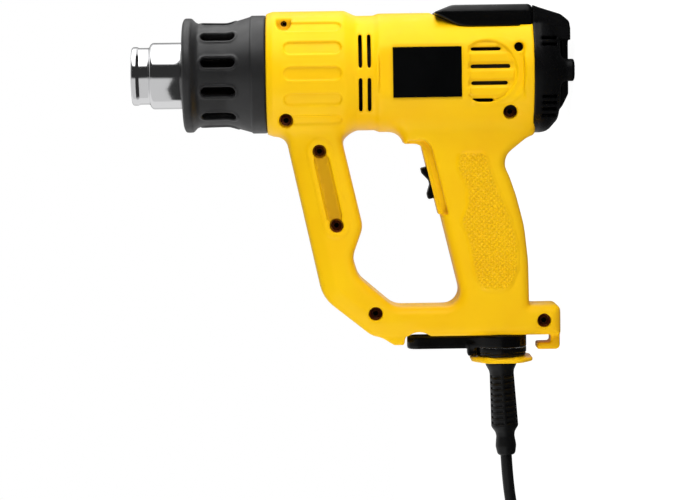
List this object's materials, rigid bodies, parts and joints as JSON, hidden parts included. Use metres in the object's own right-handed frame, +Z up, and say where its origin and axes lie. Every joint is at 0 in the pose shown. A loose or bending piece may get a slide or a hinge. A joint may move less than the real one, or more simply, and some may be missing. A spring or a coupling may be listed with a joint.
{
  "type": "heat gun",
  "caption": "Hot-air gun: round barrel with chrome nozzle, slotted heat collar, closed loop handle with rocker switch, fold-out stand and mains cord with plug; stands on its tail.",
  "frame": {"origin": "centre of the footprint of the gun without its cord, on the surface that it stands on", "axes": "+Z up, close to the barrel axis from tail to nozzle (the barrel leans 3 degrees towards -X); -X towards the handle's base and the cord; Y across the gun"},
  "size_m": [0.4985, 0.0981, 0.2629],
  "materials": {
    "screw_steel": "black oxide",
    "label_black": "gloss",
    "black_plastic": "satin",
    "yellow_trim": "satin",
    "yellow_shell": "satin",
    "chrome": "polished",
    "mica": "matte",
    "ceramic": "matte",
    "heater_wire": "dull",
    "plated_steel": "plain",
    "inner_plastic": "matte",
    "fan_plastic": "matte",
    "button_grey": "matte",
    "lcd_grey": "matte",
    "lens_clear": "clear",
    "cord_rubber": "matte",
    "terminal_white": "matte",
    "lead_blue": "matte",
    "board_green": "matte",
    "aluminium": "plain",
    "capacitor_blue": "satin",
    "tie_grey": "matte",
    "nickel": "plated"
  },
  "bodies": {
    "gun": {"housing_screws": "screw_steel", "label_left": "label_black", "label_right": "label_black", "switch_body": "black_plastic", "switch_plate": "yellow_trim", "housing_left": "yellow_shell", "housing_right": "yellow_shell", "nose_collar": "black_plastic", "nozzle_tube": "chrome", "mica_sleeve": "mica", "heater_core": "ceramic", "heater_wires": "heater_wire", "thermal_cutout": "plated_steel", "motor_can": "plated_steel", "motor_mount": "inner_plastic", "air_duct": "inner_plastic", "rear_cap": "black_plastic", "lcd_panel": "lcd_grey", "display_lens": "lens_clear", "control_cover": "black_plastic", "stand_retainer": "black_plastic", "strain_relief": "cord_rubber", "inner_cord": "cord_rubber", "cord_clamp": "inner_plastic", "terminal_block": "terminal_white", "switch_leads": "lead_blue", "control_board": "board_green", "heat_sink": "aluminium", "capacitor": "capacitor_blue", "cord": "cord_rubber", "cord_coil": "cord_rubber", "coil_tie": "tie_grey", "cord_tail": "cord_rubber", "plug_body": "cord_rubber", "plug_pins": "nickel"},
    "fan": {"motor_shaft": "plated_steel", "fan_wheel": "fan_plastic"},
    "rocker": {"switch_rocker": "black_plastic"},
    "plus_button": {"button_plus": "button_grey"},
    "minus_button": {"button_minus": "button_grey"},
    "stand": {"kickstand": "black_plastic"},
    "ring": {"hang_ring": "yellow_trim"}
  },
  "joints": [
    {"name": "fan_spin", "type": "hinge", "parent": "gun", "child": "fan", "pos_m": [0.09355, 0, 0.07824], "axis": [-0.053, 0, 0.9986], "continuous": true},
    {"name": "rocker_tilt", "type": "hinge", "parent": "gun", "child": "rocker", "pos_m": [0.02897, 0, 0.07666], "axis": [0, 1, 0], "range_deg": [-11, 11]},
    {"name": "plus_press", "type": "slide", "parent": "gun", "child": "plus_button", "axis": [-0.8885, 0, 0.4589], "range_m": [0, 0.0008], "stiffness_N_per_m": 1200, "springref_m": -0.0004},
    {"name": "minus_press", "type": "slide", "parent": "gun", "child": "minus_button", "axis": [-0.8885, 0, 0.4589], "range_m": [0, 0.0008], "stiffness_N_per_m": 1200, "springref_m": -0.0004},
    {"name": "stand_swing", "type": "hinge", "parent": "gun", "child": "stand", "pos_m": [-0.0619, 0, 0.03544], "axis": [0.9986, 0, 0.053], "range_deg": [-110, 110]},
    {"name": "ring_swivel", "type": "hinge", "parent": "gun", "child": "ring", "pos_m": [-0.0619, 0, 0.03544], "axis": [0.9986, 0, 0.053], "continuous": true}
  ]
}
